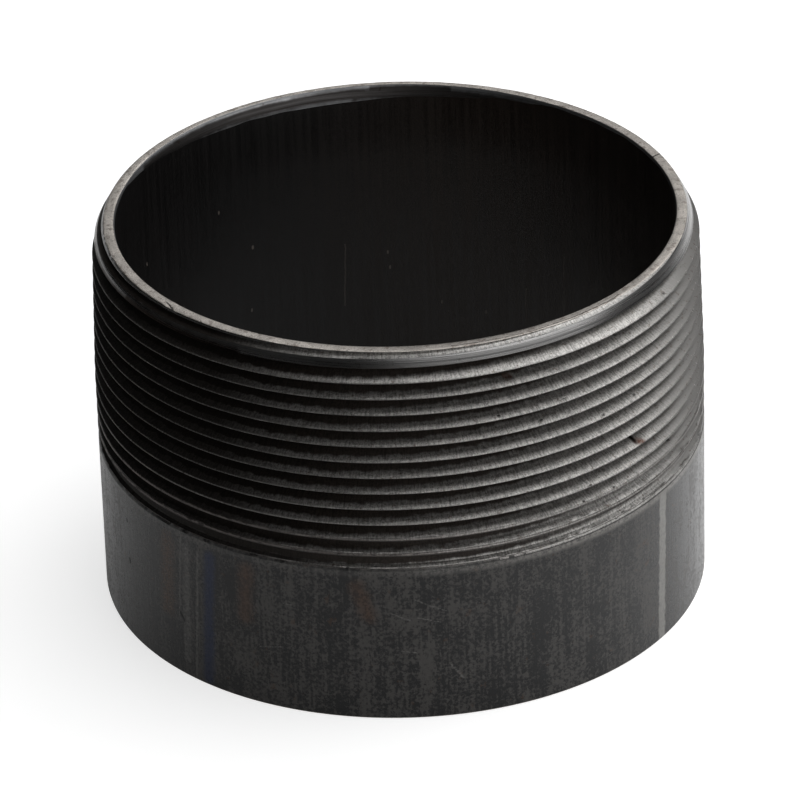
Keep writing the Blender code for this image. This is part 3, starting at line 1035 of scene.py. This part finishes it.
def bore_finish(groups, colours):
    """The dark brown skin inside, with faint streaks up it, scratches and specks, and painted shade on the
    left.
    """
    nodes = PipeFinish("bore_scale", groups, specular=0.3)
    grain = nodes.clouds(3.5, roughness=0.7)
    tone = nodes.total((nodes.streaks(turns=60.0, fineness=0.03), 0.5), (nodes.ramp(grain, 0.35, 0.65), 0.5))
    colour = nodes.mix(tone, toned(colours.bore, 0.45), toned(colours.bore, 1.6))
    # Painted shade on the left of the bore
    shade_on_left = nodes.ramp(nodes.towards(-0.91, 0.41), 0.05, 0.90, 0.0, 0.85)
    colour = nodes.mix(shade_on_left, colour, toned(colours.scale, 0.5))
    worn = nodes.largest(
        nodes.product(nodes.lines(BORE_LINES), 0.30), nodes.product(nodes.lines(BORE_SPECKS), 0.75),
        nodes.product(nodes.specks(0.7, 0.10), 0.25))
    colour = nodes.mix(worn, colour, colours.bore_mark)
    return nodes.finished(colour, nodes.ramp(tone, 0.1, 0.9, 0.34, 0.50), tone, 0.00002)


def finishes(form, colours):
    """The pipe's materials, in the order of its faces' finishes."""
    groups = Groups(form)
    return (
        mill_scale_finish(groups, colours),
        cut_thread_finish(groups, colours),
        turned_finish(
            "turned_chamfer", groups, colours, colours.turned, roughness=0.30, turns=1.1, fineness=4.0,
            stains=CHAMFER_STAINS, stain_colour=toned(colours.rust, 0.4)),
        worn_rim_finish(groups, colours),
        turned_finish(
            "reamed_steel", groups, colours, colours.reamed, roughness=0.46, turns=2.0, fineness=2.4,
            stains=REAM_STAINS, stain_colour=toned(colours.bore, 1.5)),
        bore_finish(groups, colours),
    )


class ADAPTER_OT_add_pipe(bpy.types.Operator):
    """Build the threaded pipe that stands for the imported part"""

    bl_idname = "adapter.add_pipe"
    bl_label = "Threaded Pipe"

    def execute(self, context):
        scene = context.scene
        pipe, thread = scene.adapter_pipe, scene.adapter_thread
        bm = pipe_mesh(pipe, thread, scene.adapter_ream)
        mesh = bpy.data.meshes.new("threaded_pipe")
        bm.to_mesh(mesh)
        bm.free()
        for material in finishes(ThreadForm(pipe, thread), scene.adapter_finish):
            mesh.materials.append(material)
        mesh.shade_smooth()
        mesh.set_sharp_from_angle(angle=SHARP_ANGLE)
        piece = bpy.data.objects.new("threaded_pipe", mesh)
        scene.collection.objects.link(piece)
        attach(piece, "root")
        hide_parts(CAD_NODE)
        return {"FINISHED"}


# The lamps: place, and width and height, in metres, all aimed at the middle of the adapter
LAMPS = {
    "right_light": ((0.565, 0.262, 1.178), (1.34, 1.60)),
    "back_light": ((0.0, 1.1, 0.73), (0.8, 0.45)),
    "front_light": ((0.75, -0.90, 0.61), (1.8, 0.36)),
}
AIMED_AT = Vector((0.0, 0.0, 0.04))

# The camera that took the photograph, in metres, millimetres of film and degrees
CAMERA_PLACE = (0.0, -0.98707, 0.58848)
CAMERA_PITCH, CAMERA_YAW, CAMERA_ROLL = 29.290, -0.0072, -1.7467
LENS, SENSOR_WIDTH = 270.28, 36.0
CLIP_START, CLIP_END = 0.05, 20.0

# The floor's radius in metres, and from where to where along X its mirrored glow goes from left to right
FLOOR_RADIUS = 4.0
GLOW_FROM, GLOW_TO = -0.01, 0.11


def area_light(name, place, size, power):
    data = bpy.data.lights.new(name, "AREA")
    data.shape = "RECTANGLE"
    data.size, data.size_y = size
    data.energy = power
    light = bpy.data.objects.new(name, data)
    light.location = place
    light.rotation_euler = (AIMED_AT - light.location).to_track_quat("-Z", "Y").to_euler()
    bpy.context.scene.collection.objects.link(light)


def add_camera(scene):
    data = bpy.data.cameras.new("camera")
    data.lens = LENS
    data.sensor_width = SENSOR_WIDTH
    data.clip_start, data.clip_end = CLIP_START, CLIP_END
    camera = bpy.data.objects.new("camera", data)
    camera.matrix_world = (
        Matrix.Translation(CAMERA_PLACE)
        @ Matrix.Rotation(math.radians(-CAMERA_YAW), 4, "Z")
        @ Matrix.Rotation(math.radians(90.0 - CAMERA_PITCH), 4, "X")
        @ Matrix.Rotation(math.radians(CAMERA_ROLL), 4, "Z")
    )
    scene.collection.objects.link(camera)
    scene.camera = camera


def mirrored_rays(nodes):
    """What kind of ray meets the surface: seen by the camera, and mirrored or passed through."""
    rays = nodes.add("ShaderNodeLightPath", {}).outputs
    return rays["Is Camera Ray"], nodes.largest(rays["Is Glossy Ray"], rays["Is Transmission Ray"])


def floor_finish(stage):
    """A pale floor that the camera sees as nearly white, and that steel mirrors as brighter on the right."""
    material, shader = new_material("pale_floor")
    nodes = Nodes(material.node_tree)
    shader["Roughness"].default_value = 0.9
    shader["Base Color"].default_value = (*stage.floor_colour, 1.0)
    shader["Emission Color"].default_value = (1.0, 1.0, 1.0, 1.0)
    place = nodes.add("ShaderNodeTexCoord", {}).outputs["Object"]
    across = nodes.add("ShaderNodeSeparateXYZ", {0: place}).outputs["X"]
    glow = nodes.ramp(across, GLOW_FROM, GLOW_TO, stage.mirrored_left, stage.mirrored_right)
    seen, mirrored = mirrored_rays(nodes)
    strength = nodes.math("MULTIPLY_ADD", mirrored, glow, nodes.product(seen, stage.floor_glow))
    nodes.put(shader["Emission Strength"], strength)
    return material


def surroundings(scene, stage):
    """Even light from all round; the camera sees it as white, and steel as a dim room."""
    world = bpy.data.worlds.new("surroundings")
    world.use_nodes = True
    nodes = Nodes(world.node_tree)
    background = world.node_tree.nodes["Background"]
    background.inputs["Color"].default_value = (1.0, 1.0, 1.0, 1.0)
    seen, mirrored = mirrored_rays(nodes)
    dim = nodes.math("MULTIPLY_ADD", mirrored, stage.mirrored_sky - stage.surroundings, stage.surroundings)
    nodes.put(background.inputs["Strength"], nodes.largest(seen, dim))
    scene.world = world


class ADAPTER_OT_add_stage(bpy.types.Operator):
    """Build the floor, the lights, the surroundings and the camera"""

    bl_idname = "adapter.add_stage"
    bl_label = "Stage"

    def execute(self, context):
        scene = context.scene
        stage = scene.adapter_stage
        bm = bmesh.new()
        bmesh.ops.create_circle(bm, cap_ends=True, segments=96, radius=FLOOR_RADIUS)
        mesh = bpy.data.meshes.new("floor")
        bm.to_mesh(mesh)
        bm.free()
        floor = bpy.data.objects.new("floor", mesh)
        mesh.materials.append(floor_finish(stage))
        scene.collection.objects.link(floor)
        for name, (place, size) in LAMPS.items():
            area_light(name, place, size, getattr(stage, name))
        surroundings(scene, stage)
        add_camera(scene)
        scene.view_settings.view_transform = "Standard"
        return {"FINISHED"}


class ADAPTER_PT_sidebar(bpy.types.Panel):
    """Lists the adapter's settings and what builds it"""

    bl_label = "Threaded Weld Adapter"
    bl_idname = "ADAPTER_PT_sidebar"
    bl_space_type = "VIEW_3D"
    bl_region_type = "UI"
    bl_category = "Adapter"

    def draw(self, context):
        for name, (title, _) in SETTINGS.items():
            settings = getattr(context.scene, name)
            box = self.layout.box()
            box.label(text=title)
            for key in settings.bl_rna.properties.keys():
                if key not in ("rna_type", "name"):
                    box.prop(settings, key)
        for operator in (ADAPTER_OT_add_pipe, ADAPTER_OT_add_stage):
            self.layout.operator(operator.bl_idname)


SETTINGS = {
    "adapter_pipe": ("Pipe", AdapterPipeSettings),
    "adapter_thread": ("Thread", AdapterThreadSettings),
    "adapter_ream": ("Ream", AdapterReamSettings),
    "adapter_finish": ("Finish", AdapterFinishSettings),
    "adapter_stage": ("Stage", AdapterStageSettings),
}
CLASSES = (
    AdapterPipeSettings,
    AdapterThreadSettings,
    AdapterReamSettings,
    AdapterFinishSettings,
    AdapterStageSettings,
    ADAPTER_OT_add_pipe,
    ADAPTER_OT_add_stage,
    ADAPTER_PT_sidebar,
)


def register():
    for cls in CLASSES:
        bpy.utils.register_class(cls)
    for name, (_, settings) in SETTINGS.items():
        setattr(bpy.types.Scene, name, bpy.props.PointerProperty(type=settings))


def unregister():
    for name in SETTINGS:
        delattr(bpy.types.Scene, name)
    for cls in reversed(CLASSES):
        bpy.utils.unregister_class(cls)


def main():
    register()
    bpy.ops.adapter.add_pipe()
    bpy.ops.adapter.add_stage()


if __name__ == "__main__":
    main()
